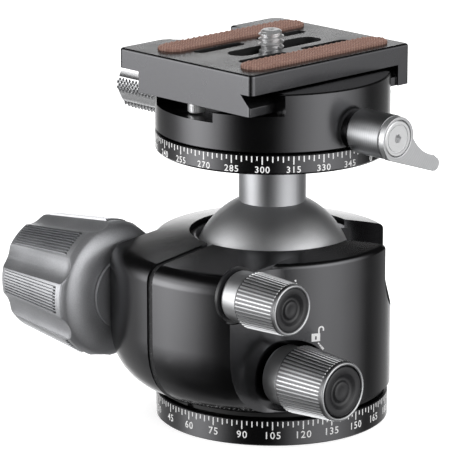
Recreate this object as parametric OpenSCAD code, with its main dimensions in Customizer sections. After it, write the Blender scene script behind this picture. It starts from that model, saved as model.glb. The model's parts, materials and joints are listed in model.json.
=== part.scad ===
// Tripod ball head with a dovetail clamp and a camera plate, in millimetres.
// The origin is the centre of the base's underside and +Z is up.
// -X points to the large locking knob, +X to the two small knobs and -Y to the clamping slit.

/* [Base] */
// Radius of the base ring and of the upper scale ring
ring_r = 29.1; // [29:0.1:29.2]
// Height of the base ring
base_h = 6.6; // [6.4:0.1:6.6]
// Radius of the threaded hole for the tripod's screw
tripod_thread_r = 4.7625; // [4.7:0.0125:4.8]
// Depth of that hole
tripod_thread_depth = 9.5; // [9:0.1:9.8]

/* [Body] */
// Radius of the round part of the body
body_r = 29.7; // [29.5:0.1:29.8]
// Reach of the clamping lobe from the centre
lobe_r = 41; // [40.6:0.1:41.2]
// Face that carries the small knobs
right_face = 21; // [20.8:0.1:21.2]
// Face that carries the large knob
left_face = -22.5; // [-22.7:0.1:-22.4]
// Width of the clamping slit
slit_w = 2; // [1.8:0.1:2.2]
// Half width of the drop notch
notch_r = 10; // [9.8:0.1:10.2]

/* [Ball] */
// Radius of the ball
ball_r = 20; // [19.95:0.01:20]
// Height of the ball's centre
ball_z = 36.9; // [36.8:0.1:37]
// Radius of the neck
neck_r = 8.36; // [8.2:0.01:8.4]

/* [Clamp] */
// Half width of the dovetail at its widest
dovetail_x = 19.4; // [19.2:0.1:19.5]
// Play between the plate and the jaws
dovetail_play = 0.1; // [0.08:0.01:0.12]

/* [Plate] */
// Length of the plate towards the back
plate_back = 27.8; // [27.4:0.1:28]
// Length of the plate towards the front
plate_front = -27.2; // [-28:0.1:-27]
// Radius of the camera's screw thread
camera_thread_r = 3.175; // [3.1:0.005:3.2]

/* [Hidden] */
$fn = 96;

eps = 0.01;
cut = 1;                        // how far a cutter runs past a face
run_play = 0.05;                // radial play of a shaft that turns in its bore

// Heights
web_z = 7.2;                    // underside of the body
flange_top = 8.2;
floor_top = 12;                 // top of the web that the base's spindle runs in
drum_z = 12.3;
drum_top = 20.8;
cavity_z = 21.4;                // top of the body's floor
liner_z = 31;
lip_z = 45;                     // underside of the collar lip
collar_z = 47.2;
ring_z = 68.3;                  // upper scale ring
ring_top = 73.2;
clamp_z = 73.5;
bed_z = 82.7;
jaw_top = 88.1;
flange_z = 83.3;                // underside of the plate's dovetail
slab_z = 88.5;
slab_top = 93.5;

// Radii about the main axis
spindle_r = 12;
drum_r = 17;
cavity_r = 22;
collar_r = 20.7;
liner_play = 0.06;
insert_r = 7.5;

// Side screws, each along X: [y, z]
main_at = [-29.5, 32.1];
friction_at = [-32.8, 41];
pan_at = [-17.7, 18.1];
clamp_at = [0, 77.3];
lever_at = [-0.5, 77.8];
main_screw_r = 3;
friction_screw_r = 2;
pan_screw_r = 2.5;
shoe_r = 3;

// Turned outlines, each point [radius, height]
bottom_start = [29, 8.6];
bottom_bend = [lobe_r, 11.5];
bottom_end = [lobe_r, 26];
bend_steps = 8;
shoulder_r = 4.4;               // rounding between the lobe's side and its sloped top
shoulder_at = [lobe_r - shoulder_r, 40.9];

function bend(t) = (1 - t) * (1 - t) * bottom_start + 2 * t * (1 - t) * bottom_bend + t * t * bottom_end;
function arc(centre, r, from, to, steps) =
    [for (i = [0:steps]) let (a = from + (to - from) * i / steps) centre + r * [cos(a), sin(a)]];

// Places a child that is drawn along +Z so that it lies along X through [y, z].
module along_plus_x(at) {
    translate([0, at[0], at[1]]) rotate([0, 90, 0]) children();
}

module along_minus_x(at) {
    translate([0, at[0], at[1]]) rotate([0, -90, 0]) children();
}

// A cylinder between two heights.
module rod(r, from, to) {
    translate([0, 0, from]) cylinder(r = r, h = to - from);
}

// A ring between two heights.
module tube(outer, inner, from, to) {
    difference() {
        rod(outer, from, to);
        rod(inner, from - cut, to + cut);
    }
}

// A disc with a small bevel at its lower edge, its upper edge or both.
module bevelled_disc(r, from, to, low, high) {
    rotate_extrude() polygon([
        [0, from], [r - low, from], [r, from + low], [r, to - high], [r - high, to], [0, to]
    ]);
}

/* Base */

module base_ring() {
    insert_seat = 5;
    color("#1c1c1e") difference() {
        bevelled_disc(ring_r, 0, base_h, 0.3, 0.25);
        rod(insert_r, -cut, insert_seat + eps);
        rod(spindle_r, insert_seat, base_h + cut);
    }
}

module thread_insert() {
    color("#c9cacc") tube(insert_r, tripod_thread_r, 0, tripod_thread_depth);
}

drum_screw_circle = 9.8;
drum_screw_r = 1.25;

module pan_spindle() {
    color("#8d8f92") difference() {
        rod(spindle_r, 5, drum_z);
        rod(insert_r, 5 - cut, tripod_thread_depth);
        drum_screw_places() rod(drum_screw_r, 7, drum_z + cut);
    }
}

module drum_screw_places() {
    for (a = [30:120:270]) rotate(a) translate([drum_screw_circle, 0, 0]) children();
}

drum_floor_top = 14.3;

module pan_drum() {
    color("#9a9c9f") difference() {
        rod(drum_r, drum_z, drum_top);
        rod(13.6, drum_floor_top, drum_top + cut);
        drum_screw_places() rod(drum_screw_r, drum_z - cut, drum_floor_top + cut);
    }
}

module drum_screws() {
    head_r = 2.1;
    head_h = 1.3;
    color("#6f7174") drum_screw_places() {
        rod(drum_screw_r, 7, drum_floor_top + eps);
        difference() {
            rod(head_r, drum_floor_top, drum_floor_top + head_h);
            rod(1.1, drum_floor_top + 0.5, drum_floor_top + head_h + cut, $fn = 6);
        }
    }
}

module lower_washer() {
    color("#101010") tube(26, 13, base_h, web_z - run_play);
}

module upper_washer() {
    color("#d8d4c8") tube(16.6, 12.6, floor_top + run_play, drum_z);
}

/* Body */

// The lobe's full turned shape, shrunk sideways by inset.
module housing_turned(inset = 0) {
    rotate_extrude($fn = 180) polygon(concat(
        [[0, bottom_start[1]]],
        [for (i = [0:bend_steps]) bend(i / bend_steps) - [inset, 0]],
        arc(shoulder_at - [inset, 0], shoulder_r, 0, 87.5, 8),
        [[collar_r - inset, collar_z], [0, collar_z]]
    ));
}

edge_r = 1.3;                   // rounding of the round body's top edge
edge_z = 44.9;

// A round body and a lobe with two flat faces.
module housing_shape() {
    intersection() {
        housing_turned();
        union() {
            rotate_extrude($fn = 180) polygon(concat(
                [[0, bottom_start[1]], [body_r, bottom_start[1]]],
                arc([body_r - edge_r, edge_z], edge_r, 0, 83, 5),
                [[0, collar_z + 3]]
            ));
            translate([left_face, -lobe_r - cut, 0])
                cube([right_face - left_face, lobe_r + cut, collar_z + cut]);
            face_fillet();
        }
    }
}

// The hollow blend between the right face and the round body.
module face_fillet() {
    fillet_r = 9;
    centre_x = right_face + fillet_r;
    centre_y = -sqrt((body_r + fillet_r) * (body_r + fillet_r) - centre_x * centre_x);
    meets_body = atan2(-centre_y, -centre_x);
    translate([0, 0, bottom_start[1]]) linear_extrude(edge_z + 0.3 - bottom_start[1]) polygon(concat(
        [[right_face - 2, centre_y]],
        arc([centre_x, centre_y], fillet_r, 180, meets_body, 8),
        [[right_face - 2, centre_y + fillet_r]]
    ));
}

module housing_flange() {
    flange_r = 28.3;
    groove_r = 27.2;
    rod(flange_r, web_z, flange_top);
    rod(groove_r, flange_top - eps, bottom_start[1] + eps);
}

// The drop notch that lets the neck lie flat.
notch_turn = 45;
notch_z = 38;

module drop_notch() {
    inner = 8;
    length = 32;
    rotate(notch_turn) translate([inner, 0, notch_z]) {
        rotate([0, 90, 0]) cylinder(r = notch_r, h = length);
        translate([0, -notch_r, 0]) cube([length, 2 * notch_r, 20]);
    }
}

module slit_cut(width, from, to) {
    slit_x = -1;
    translate([slit_x - width / 2, -lobe_r - cut, from]) cube([width, lobe_r + cut - 17, to - from]);
}

spot_r = 17.8;
small_spot = 20.3;              // floor of the two small knobs' recesses
friction_spot_r = 7.3;
pan_spot_r = 9.1;
main_thread_end = 17;
pan_boss_r = 5.6;
shoe_bore_end = 19.8;

module housing() {
    color("#17171a") difference() {
        union() {
            housing_shape();
            housing_flange();
        }
        rod(cavity_r, web_z - cut, lip_z);
        rod(collar_r, lip_z - cut, collar_z + cut);
        drop_notch();
        slit_cut(slit_w, flange_top, collar_z + cut);
        translate([-1.1, -ring_r - cut, web_z - cut]) cube([2.1, 6, flange_top - web_z + cut + eps]);
        along_minus_x(main_at) rod(spot_r, -left_face, lobe_r + cut);
        along_plus_x(main_at) {
            rod(main_screw_r + 0.2, left_face - cut, 0);
            rod(main_screw_r + run_play, -eps, main_thread_end + 0.5);
        }
        along_plus_x(friction_at) {
            rod(friction_spot_r, small_spot, lobe_r);
            rod(friction_screw_r + 0.2, 0, small_spot + cut);
            rod(friction_screw_r + run_play, -15.5, eps);
        }
        along_plus_x(pan_at) {
            tube(pan_spot_r, pan_boss_r, small_spot, small_root - 0.2);
            rod(pan_spot_r, small_root - 0.2 - eps, lobe_r);
            rod(shoe_r + run_play, 0, shoe_bore_end);
            rod(pan_screw_r + run_play, shoe_bore_end - eps, small_root);
        }
    }
}

module housing_floor() {
    color("#2a2a2d") difference() {
        rod(cavity_r, web_z, cavity_z);
        rod(spindle_r + run_play, web_z - cut, floor_top + cut);
        rod(drum_r + 0.35, floor_top, cavity_z + cut);
        along_plus_x(pan_at) rod(shoe_r + run_play, 0, 30);
    }
}

module slit_seal() {
    seal_inset = 0.5;
    color("#202022") difference() {
        intersection() {
            translate([0, 0, -seal_inset]) housing_turned(seal_inset);
            slit_cut(slit_w, flange_top + 0.2, collar_z);
        }
        rod(cavity_r + 1, 0, collar_z + cut);
        along_plus_x(main_at) rod(main_screw_r + 0.5, -cut - 3, cut + 3);
        along_plus_x(friction_at) rod(friction_screw_r + 0.5, -cut - 3, cut + 3);
    }
}

module ball_liner() {
    color("#161617") difference() {
        rod(cavity_r, liner_z, lip_z);
        translate([0, 0, ball_z]) sphere(r = ball_r + liner_play);
        drop_notch();
        slit_cut(slit_w, liner_z - cut, lip_z + cut);
    }
}

module liner_ring() {
    top = 46.1;
    color("#c4c6c8") difference() {
        rotate_extrude() polygon([
            [18.7, lip_z], [collar_r, lip_z], [collar_r, top - 0.5], [19.6, top], [19.1, top]
        ]);
        drop_notch();
        slit_cut(slit_w, lip_z - cut, top + cut);
    }
}

/* Large locking knob */

knob_back = 23.75;              // flat that faces the body
knob_back_r = 7;
knob_wide = 27.6;               // widest place, from here a dome runs back to the flat
knob_end = 52.9;
knob_wide_r = 17.3;
knob_end_r = 14.6;
flutes = 7;
main_play = 0.3;
main_washer_r = 9;

module main_washer() {
    color("#141416") along_minus_x(main_at)
        tube(main_washer_r, main_screw_r + run_play, -left_face + main_play, knob_back - 0.15);
}

module main_knob() {
    flute_turn = 360 / flutes;
    first_land = -90;           // one land points to the front
    taper = atan((knob_wide_r - knob_end_r) / (knob_end - knob_wide));
    scoop_r = 6.2;
    scoop_depth = 1.5;
    scoop_start = knob_wide + 1.6;
    dome_r = knob_wide_r - knob_back_r;
    dome_h = knob_wide - knob_back;
    color("#8e9094") along_minus_x(main_at) difference() {
        rotate_extrude() polygon(concat(
            [[main_screw_r, knob_back]],
            [for (t = [90:-15:0]) [knob_back_r + dome_r * cos(t), knob_wide - dome_h * sin(t)]],
            arc([knob_end_r - 1.2, knob_end - 1.2], 1.2, 8, 90, 5),
            [[12.3, knob_end], [11.7, knob_end - 0.8], [0, knob_end - 0.8], [0, 46], [main_screw_r, 46]]
        ));
        for (i = [0:flutes - 1])
            rotate(first_land + flute_turn * (i + 0.5))
                translate([knob_wide_r - scoop_depth + scoop_r, 0, scoop_start]) rotate([0, -taper, 0]) {
                    sphere(r = scoop_r);
                    cylinder(r = scoop_r, h = 40);
                }
    }
}

module main_bolt() {
    color("#a9abae") along_minus_x(main_at) rod(main_screw_r, -main_thread_end, 46);
}

/* Small knobs, each drawn from its root at 0 along +Z */

small_root = 21.3;              // the knobs start here, clear of the body
hub_round = 1.2;

module small_knob(hub_r, hub_h, grip_r, end_r, length, bore_r, bore_h, cap_r) {
    cap_h = 1.6;
    difference() {
        rotate_extrude() polygon(concat(
            [[0, 0], [hub_r - hub_round, 0]],
            arc([hub_r - hub_round, hub_round], hub_round, -80, 0, 6),
            [[hub_r, hub_h], [grip_r - 0.5, hub_h], [grip_r, hub_h + 0.5]],
            arc([end_r - 0.7, length - 0.7], 0.7, 10, 90, 4),
            [[0, length]]
        ));
        rod(cap_r, length - cap_h, length + cut);
        rod(bore_r, -cut, bore_h);
    }
}

module small_cap(r, length) {
    dimple_r = 0.62 * r;
    crown_r = 0.34 * r;
    rotate_extrude() polygon([
        [0, length - 1.6], [r, length - 1.6], [r, length - 0.3], [r - 0.3, length - 0.05],
        [dimple_r + 0.35, length - 0.05], [dimple_r, length - 0.6], [crown_r + 0.3, length - 0.7],
        [crown_r, length - 0.35], [0.5 * crown_r, length - 0.1], [0, length - 0.05]
    ]);
}

friction_length = 18.4;
friction_cap_r = 5.4;
pan_length = 20.7;
pan_cap_r = 6.2;

module friction_washer() {
    color("#111113") along_plus_x(friction_at)
        tube(6.9, friction_screw_r + run_play, small_spot + 0.1, small_root - 0.1);
}

module friction_knob() {
    color("#bfc1c4") along_plus_x(friction_at) translate([0, 0, small_root])
        small_knob(6.3, 5.1, 6.9, 6.2, friction_length, friction_screw_r, 12, friction_cap_r);
}

module friction_cap() {
    color("#1b1b1d") along_plus_x(friction_at) translate([0, 0, small_root]) small_cap(friction_cap_r, friction_length);
}

module friction_screw() {
    color("#a9abae") along_plus_x(friction_at) rod(friction_screw_r, -15, small_root + 12);
}

// The shoe presses on the base's drum through the body's floor.
module pan_shoe() {
    shoe_gap = 0.45;
    color("#c8a24a") difference() {
        along_plus_x(pan_at) rod(shoe_r, 0, 19);
        rod(drum_r + shoe_gap, 0, 40);
    }
}

module pan_knob() {
    color("#bfc1c4") along_plus_x(pan_at) translate([0, 0, small_root])
        small_knob(7.5, 5.3, 8.4, 7.3, pan_length, pan_screw_r, 13, pan_cap_r);
}

module pan_cap() {
    color("#1b1b1d") along_plus_x(pan_at) translate([0, 0, small_root]) small_cap(pan_cap_r, pan_length);
}

module pan_screw() {
    color("#a9abae") along_plus_x(pan_at) rod(pan_screw_r, 19.3, small_root + 13);
}

/* Ball, neck and upper scale ring */

neck_z = ball_z + sqrt(ball_r * ball_r - neck_r * neck_r);
spigot_r = 5;
spigot_z = 44;

module ball_seat() {
    color("#d9d5c9") difference() {
        rod(cavity_r - 0.2, cavity_z + 0.2, 28);
        translate([0, 0, ball_z]) sphere(r = ball_r + liner_play);
    }
}

module ball() {
    color("#7d7f83") difference() {
        intersection() {
            translate([0, 0, ball_z]) sphere(r = ball_r, $fn = 180);
            rod(ball_r + 1, ball_z - ball_r, neck_z);
        }
        rod(spigot_r, spigot_z, neck_z + cut);
    }
}

module stem() {
    bolt_end = 60;
    color("#b4b6ba") difference() {
        union() {
            rod(spigot_r, spigot_z, neck_z + eps);
            rod(neck_r, neck_z, ring_z);
            rod(6, ring_z - eps, ring_top);
        }
        rod(3, bolt_end, ring_top + cut);
    }
}

module scale_ring() {
    color("#1c1c1e") difference() {
        bevelled_disc(ring_r, ring_z, ring_top, 0.5, 0.25);
        rod(6, ring_z - cut, ring_top + cut);
    }
}

upper_spindle_top = 79.9;
groove_z = 76.3;
groove_h = 3;

module upper_spindle() {
    color("#8d8f92") difference() {
        rod(spindle_r, ring_top, upper_spindle_top);
        tube(spindle_r + cut, 10.4, groove_z, groove_z + groove_h);
        rod(3, ring_top - cut, upper_spindle_top);
        rod(5.1, 76.4, upper_spindle_top + cut);
    }
}

module spindle_bolt() {
    color("#6f7174") difference() {
        union() {
            rod(3, 60, 76.4 + eps);
            rod(5, 76.4, 79.6);
        }
        rod(2.5, 77.4, 80, $fn = 6);
    }
}

/* Clamp */

jaw_inner = dovetail_x + dovetail_play;
dovetail_bend = 85.45;          // the jaws lean inwards above this height
jaw_reach = 18.3;               // half length of the jaws along Y

// The space between the jaws, as a prism along Y.
module dovetail_space(x) {
    lean = jaw_top - dovetail_bend + cut;
    translate([0, 40, 0]) rotate([90, 0, 0]) linear_extrude(80) polygon([
        [-x, bed_z], [x, bed_z], [x, dovetail_bend], [x - lean, dovetail_bend + lean],
        [lean - x, dovetail_bend + lean], [-x, dovetail_bend]
    ]);
}

jaw_split = -19.5;              // the moving jaw lies beyond this plane
pocket_from = -15.9;
pocket_to = 7.7;
pocket_z = 80.3;
pocket_y = 17.5;
pin_y = 11.9;
guide_y = 15;
guide_r = 1.5;
clamp_screw_r = 2.5;

// The clamp before it is split into a body and a jaw.
module clamp_blank() {
    difference() {
        bevelled_disc(ring_r, clamp_z, jaw_top, 0.4, 0.35);
        dovetail_space(jaw_inner);
        for (side = [0, 1]) mirror([0, side, 0])
            translate([-ring_r - cut, jaw_reach, bed_z]) cube([2 * (ring_r + cut), ring_r, 10]);
    }
}

// Everything to the left of a plane, between two heights.
module left_of(x, from, to) {
    translate([x - 2 * ring_r, -ring_r - cut, from]) cube([2 * ring_r, 2 * ring_r + 2 * cut, to - from]);
}

rail_h = flange_z - bed_z - 0.05;

module clamp_body() {
    boss_end = 30.4;
    color("#161618") difference() {
        union() {
            difference() {
                clamp_blank();
                left_of(jaw_split, 0, jaw_top + cut);
                left_of(0, bed_z, jaw_top + cut);
            }
            intersection() {
                along_plus_x(lever_at) rod(5, 26, boss_end);
                rod(boss_end + cut, clamp_z, bed_z + 3);
            }
            for (x = [-17.5, 9.5]) translate([x, -15, bed_z - eps]) cube([8, 30, rail_h + eps]);
        }
        rod(spindle_r + run_play, clamp_z - cut, 80.2);
        for (side = [0, 1]) mirror([0, side, 0])
            translate([pocket_from, pocket_y, pocket_z]) cube([pocket_to - pocket_from, 20, 10]);
        retaining_pins_solid();
        along_minus_x(clamp_at) rod(clamp_screw_r + run_play, 0, 25);
        jaw_guides(guide_r);
        along_plus_x(lever_at) {
            rod(shoe_r + run_play, 0, 24);
            rod(clamp_screw_r + run_play, 24 - eps, 31);
        }
    }
}

module retaining_pins_solid() {
    for (y = [-pin_y, pin_y]) translate([-8.5, y, 77.8]) rotate([0, 90, 0]) cylinder(r = 1.4, h = 17);
}

module retaining_pins() {
    color("#b9bbbe") retaining_pins_solid();
}

module jaw_guides(r) {
    for (y = [-guide_y, guide_y]) translate([-24, y, clamp_at[1]]) rotate([0, 90, 0]) cylinder(r = r, h = 14);
}

module jaw_guide_pins() {
    color("#b9bbbe") jaw_guides(guide_r);
}

module moving_jaw() {
    closing_gap = 0.3;
    color("#161618") difference() {
        intersection() {
            clamp_blank();
            union() {
                left_of(jaw_split - closing_gap, 0, jaw_top + cut);
                left_of(-10, bed_z + 0.1, jaw_top + cut);
            }
        }
        jaw_guides(guide_r + run_play);
        along_minus_x(clamp_at) rod(clamp_screw_r + 0.2, 0, 40);
    }
}

lever_shoe_gap = 0.5;

module lever_shoe() {
    color("#c8a24a") difference() {
        along_plus_x(lever_at) rod(shoe_r, 0, 23);
        rod(spindle_r + lever_shoe_gap, clamp_z, 82);
    }
}

barrel_x = 30.7;
arm_x = 41.3;
arm_h = 1.7;

module lever_barrel() {
    color("#c6c8ca") along_plus_x(lever_at) difference() {
        rotate_extrude() polygon([
            [0, barrel_x], [5.1, barrel_x], [5.5, barrel_x + 0.4], [5.5, arm_x - 0.15], [5.3, arm_x], [0, arm_x]
        ]);
        rod(clamp_screw_r, barrel_x - cut, arm_x + cut);
    }
}

lever_head_r = 4.5;

// The arm's outline about the screw, [y, z]: a disc, and a finger that hangs down to the back.
module arm_plan() {
    arm_disc_r = 5.3;
    tip = [12.9, -8.4];
    tip_r = 1.75;
    hollow = [15.5, 5.4];       // centre of the finger's hollow upper edge
    hollow_r = 11.9;
    circle(r = arm_disc_r);
    polygon(concat(
        [[3, 4.3], [-4.6, -2.6], [-3.6, -4.5], [-2.8, -5]],
        arc(tip, tip_r, -106, 70, 8),
        arc(hollow, hollow_r, 258, 196, 8)
    ));
}

module lever_arm() {
    color("#c6c8ca") translate([arm_x, lever_at[0], lever_at[1]]) rotate([90, 0, 90]) linear_extrude(arm_h)
        difference() {
            arm_plan();
            circle(r = lever_head_r);
        }
}

module lever_screw() {
    color("#d2d3d5") along_plus_x(lever_at) difference() {
        union() {
            rod(clamp_screw_r, 23.3, arm_x + eps);
            rod(lever_head_r, arm_x, arm_x + arm_h - 0.15);
        }
        rod(1.1, arm_x + 0.6, arm_x + arm_h + cut, $fn = 6);
    }
}

clamp_knob_end = 50;
clamp_knob_root = 30.2;

module clamp_knob() {
    r = 6.8;
    clamp_flutes = 6;
    color("#cfd0d2") along_minus_x(clamp_at) difference() {
        rotate_extrude() polygon([
            [0, clamp_knob_root], [4.4, clamp_knob_root], [4.4, 32.4], [r - 0.8, 32.4], [r, 33.2],
            [r, clamp_knob_end - 0.8], [r - 0.8, clamp_knob_end], [0, clamp_knob_end]
        ]);
        rod(clamp_screw_r, clamp_knob_root - cut, 45);
        for (i = [0:clamp_flutes - 1]) rotate(360 / clamp_flutes * (i + 0.5))
            translate([r + 2.6, 0, 32]) cylinder(r = 3.2, h = 20);
    }
}

module clamp_screw() {
    color("#b9bbbe") along_minus_x(clamp_at) rod(clamp_screw_r, 13, 45);
}

/* Camera plate */

slab_left = -26.6;
slab_right = 20;
flare = 3.2;
end_wall = 4;
channel_x = 12.6;
strip_w = 7.6;
strip_from = -22.4;
strip_to = 25.5;
strip_pocket_z = 92.9;
strip_top = 94.2;
strip_left_x = -16;
strip_right_x = 13;
slot_x = -0.6;
slot_w = 6.6;

// A slot with round ends along Y.
module slot(x, from, to, width, low, high) {
    translate([0, 0, low]) linear_extrude(high - low) {
        for (y = [from + width / 2, to - width / 2]) translate([x, y]) circle(d = width);
        translate([x - width / 2, from + width / 2]) square([width, to - from - width]);
    }
}

// The slab's plan outline, with rounded corners and the cut-out in its left edge.
module slab_plan() {
    corner = 1.4;
    back_corner = 3.5;
    right_corner = 0.9;
    step_y = 11;
    step_x = -21.3;
    step_r = 2.4;
    polygon(concat(
        arc([slab_right - corner, plate_front + corner], corner, -90, 0, 4),
        arc([slab_right - right_corner, plate_back - right_corner], right_corner, 0, 90, 4),
        arc([slab_left + back_corner, plate_back - back_corner], back_corner, 90, 180, 6),
        arc([slab_left + 0.8, step_y + 0.8], 0.8, 180, 270, 4),
        [[step_x, step_y], [step_x, -step_y + step_r]],
        arc([slab_left + step_r, -step_y - step_r], step_r, 90, 180, 5),
        arc([slab_left + corner, plate_front + corner], corner, 180, 270, 4)
    ));
}

module plate() {
    color("#1d1d20") difference() {
        union() {
            translate([0, 0, slab_z]) linear_extrude(slab_top - slab_z) slab_plan();
            intersection() {
                translate([0, 0, flange_z]) linear_extrude(slab_z - flange_z + 0.1) slab_plan();
                union() {
                    plate_flange();
                    end_blocks();
                }
            }
        }
        translate([-channel_x, plate_front + end_wall, flange_z - cut])
            cube([2 * channel_x, plate_back - plate_front, slab_z - flange_z + cut]);
        for (x = [strip_left_x, strip_right_x]) slot(x, strip_from, strip_to, strip_w, strip_pocket_z, slab_top + cut);
        slot(slot_x, -13.6, 16.1, slot_w, slab_z - cut, slab_top + cut);
        for (x = [-8.8, 6.9]) {
            slot(x, -17.9, -1.9, 3.4, slab_z - cut, slab_top + cut);
            slot(x, 3.6, 19.6, 3.4, slab_z - cut, slab_top + cut);
        }
        stop_threads(flange_z - cut);
    }
}

// The groove is closed at the left of the front end and at the right of the back end.
module end_blocks() {
    block_h = slab_z - flange_z + 0.1;
    translate([-dovetail_x, plate_front, flange_z]) cube([dovetail_x, end_wall, block_h]);
    translate([channel_x, plate_back - end_wall, flange_z]) cube([slab_right - channel_x, end_wall, block_h]);
}

module plate_flange() {
    translate([0, 40, 0]) rotate([90, 0, 0]) linear_extrude(80) polygon([
        [-dovetail_x, flange_z], [dovetail_x, flange_z], [dovetail_x, slab_z - flare + 0.1],
        [dovetail_x - flare, slab_z + 0.1], [flare - dovetail_x, slab_z + 0.1], [-dovetail_x, slab_z - flare + 0.1]
    ]);
}

module grip_strip(x) {
    color("#96695a") slot(x, strip_from, strip_to, strip_w, strip_pocket_z, strip_top);
}

module grip_strip_left() {
    grip_strip(strip_left_x);
}

module grip_strip_right() {
    grip_strip(strip_right_x);
}

stop_x = -2.6;
stop_y = 23.6;

module stop_threads(from) {
    for (y = [-stop_y, stop_y]) translate([stop_x, y, 0]) rod(1, from, 91);
}

module stop_screws() {
    color("#d2d3d5") {
        stop_threads(flange_z - eps);
        for (y = [-stop_y, stop_y]) translate([stop_x, y, 0]) bevelled_disc(2, 80.6, flange_z, 0.3, 0);
    }
}

screw_y = 0;
clip_z = 86.9;

module screw_clip() {
    color("#a9abae") translate([slot_x, screw_y, 0]) tube(4.6, 3.05, clip_z, slab_z - 0.1);
}

module camera_screw() {
    thread_z = 93.8;
    top = 98;
    color("#d8d9db") translate([slot_x, screw_y, 0]) difference() {
        union() {
            bevelled_disc(6.2, 84, clip_z - 0.1, 0.4, 0);
            rod(3, clip_z - 0.2, thread_z + eps);
            bevelled_disc(camera_thread_r, thread_z, top, 0.15, 0.3);
        }
        translate([-0.6, -7, 83]) cube([1.2, 14, 2.2]);
        translate([0, 0, top - 1.6]) cylinder(r = 0.9, h = 4, $fn = 6);
    }
}

base_ring();
thread_insert();
pan_spindle();
pan_drum();
drum_screws();
lower_washer();
upper_washer();
housing();
housing_floor();
slit_seal();
ball_liner();
liner_ring();
main_washer();
main_knob();
main_bolt();
friction_washer();
friction_knob();
friction_cap();
friction_screw();
pan_shoe();
pan_knob();
pan_cap();
pan_screw();
ball_seat();
ball();
stem();
scale_ring();
upper_spindle();
spindle_bolt();
clamp_body();
retaining_pins();
jaw_guide_pins();
lever_shoe();
lever_barrel();
lever_arm();
lever_screw();
moving_jaw();
clamp_knob();
clamp_screw();
plate();
grip_strip_left();
grip_strip_right();
stop_screws();
screw_clip();
camera_screw();
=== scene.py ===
import json
import math

import bpy
from mathutils import Matrix, Vector


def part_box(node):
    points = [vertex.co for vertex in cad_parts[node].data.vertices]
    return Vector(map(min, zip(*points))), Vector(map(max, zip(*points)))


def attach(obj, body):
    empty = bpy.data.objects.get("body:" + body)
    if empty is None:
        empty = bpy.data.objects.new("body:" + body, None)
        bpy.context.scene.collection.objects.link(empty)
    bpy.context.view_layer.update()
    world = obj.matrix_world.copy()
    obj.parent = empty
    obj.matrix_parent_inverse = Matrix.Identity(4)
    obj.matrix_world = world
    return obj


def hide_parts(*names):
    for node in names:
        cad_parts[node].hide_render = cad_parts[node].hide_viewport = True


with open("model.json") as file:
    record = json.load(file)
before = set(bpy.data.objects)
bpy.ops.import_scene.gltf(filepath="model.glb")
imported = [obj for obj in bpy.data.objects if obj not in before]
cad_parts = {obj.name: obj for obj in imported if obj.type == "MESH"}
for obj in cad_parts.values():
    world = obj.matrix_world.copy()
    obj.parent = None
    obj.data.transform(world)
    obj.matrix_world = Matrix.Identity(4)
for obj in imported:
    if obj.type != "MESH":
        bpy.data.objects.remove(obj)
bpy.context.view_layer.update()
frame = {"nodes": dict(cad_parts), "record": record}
mm = 0.001


def editMode(select="SELECT"):
    bpy.ops.object.mode_set(mode="EDIT")
    bpy.ops.mesh.select_all(action=select)


def objectMode():
    bpy.ops.object.mode_set(mode="OBJECT")


def clearSelection():
    if bpy.context.object and bpy.context.object.mode != "OBJECT":
        objectMode()
    bpy.ops.object.select_all(action="DESELECT")


def makeActive(piece):
    clearSelection()
    piece.select_set(True)
    bpy.context.view_layer.objects.active = piece


def applyPlace(piece):
    makeActive(piece)
    bpy.ops.object.transform_apply(location=True, rotation=True, scale=True)


def smoothByAngle(piece, degrees):
    makeActive(piece)
    bpy.ops.object.shade_smooth_by_angle(angle=math.radians(degrees))


def addModifier(piece, kind, **values):
    makeActive(piece)
    modifier = piece.modifiers.new(kind.title(), kind)
    for key, value in values.items():
        setattr(modifier, key, value)
    bpy.ops.object.modifier_apply(modifier=modifier.name)


def copyPiece(piece, name):
    other = bpy.data.objects.new(name, piece.data.copy())
    bpy.context.collection.objects.link(other)
    return other


def joinInto(target, others):
    clearSelection()
    for other in others:
        other.select_set(True)
    target.select_set(True)
    bpy.context.view_layer.objects.active = target
    bpy.ops.object.join()
    return target


def cutAway(piece, cutter):
    addModifier(piece, "BOOLEAN", operation="DIFFERENCE", object=cutter, solver="EXACT")
    bpy.data.objects.remove(cutter)


def faceOutward(piece):
    makeActive(piece)
    editMode()
    bpy.ops.mesh.normals_make_consistent(inside=False)
    objectMode()


def giveMaterial(piece, material):
    piece.data.materials.clear()
    piece.data.materials.append(material)


# A turned piece along +Z: a circle that is extruded and scaled from point to point of [radius, height].
def turnPiece(name, outline, around):
    clearSelection()
    first = outline[0]
    bpy.ops.mesh.primitive_circle_add(vertices=around, radius=first[0] * mm, fill_type="NGON")
    piece = bpy.context.object
    piece.name = name
    editMode()
    bpy.ops.transform.translate(value=(0, 0, first[1] * mm))
    for (oldR, oldZ), (newR, newZ) in zip(outline, outline[1:]):
        rise = (newZ - oldZ) * mm
        bpy.ops.mesh.extrude_region_move(TRANSFORM_OT_translate={"value": (0, 0, rise)})
        grow = newR / oldR
        bpy.ops.transform.resize(value=(grow, grow, 1), center_override=(0, 0, newZ * mm))
    faceOutward(piece)
    return piece


# Points on an arc of an outline, from one angle to another in degrees.
def roundArc(centreR, centreZ, r, start, stop, steps):
    turns = [math.radians(start + (stop - start) * i / steps) for i in range(steps + 1)]
    return [(centreR + r * math.cos(a), centreZ + r * math.sin(a)) for a in turns]


# Lays a piece that was drawn along +Z along X instead, at y and z in millimetres. Direction is 1 or -1.
def layAlongX(piece, direction, y, z):
    piece.rotation_euler = (0, math.radians(90 * direction), 0)
    piece.location = (0, y * mm, z * mm)
    applyPlace(piece)


def evenTurns(count):
    return [2 * math.pi * i / count for i in range(count)]


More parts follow.
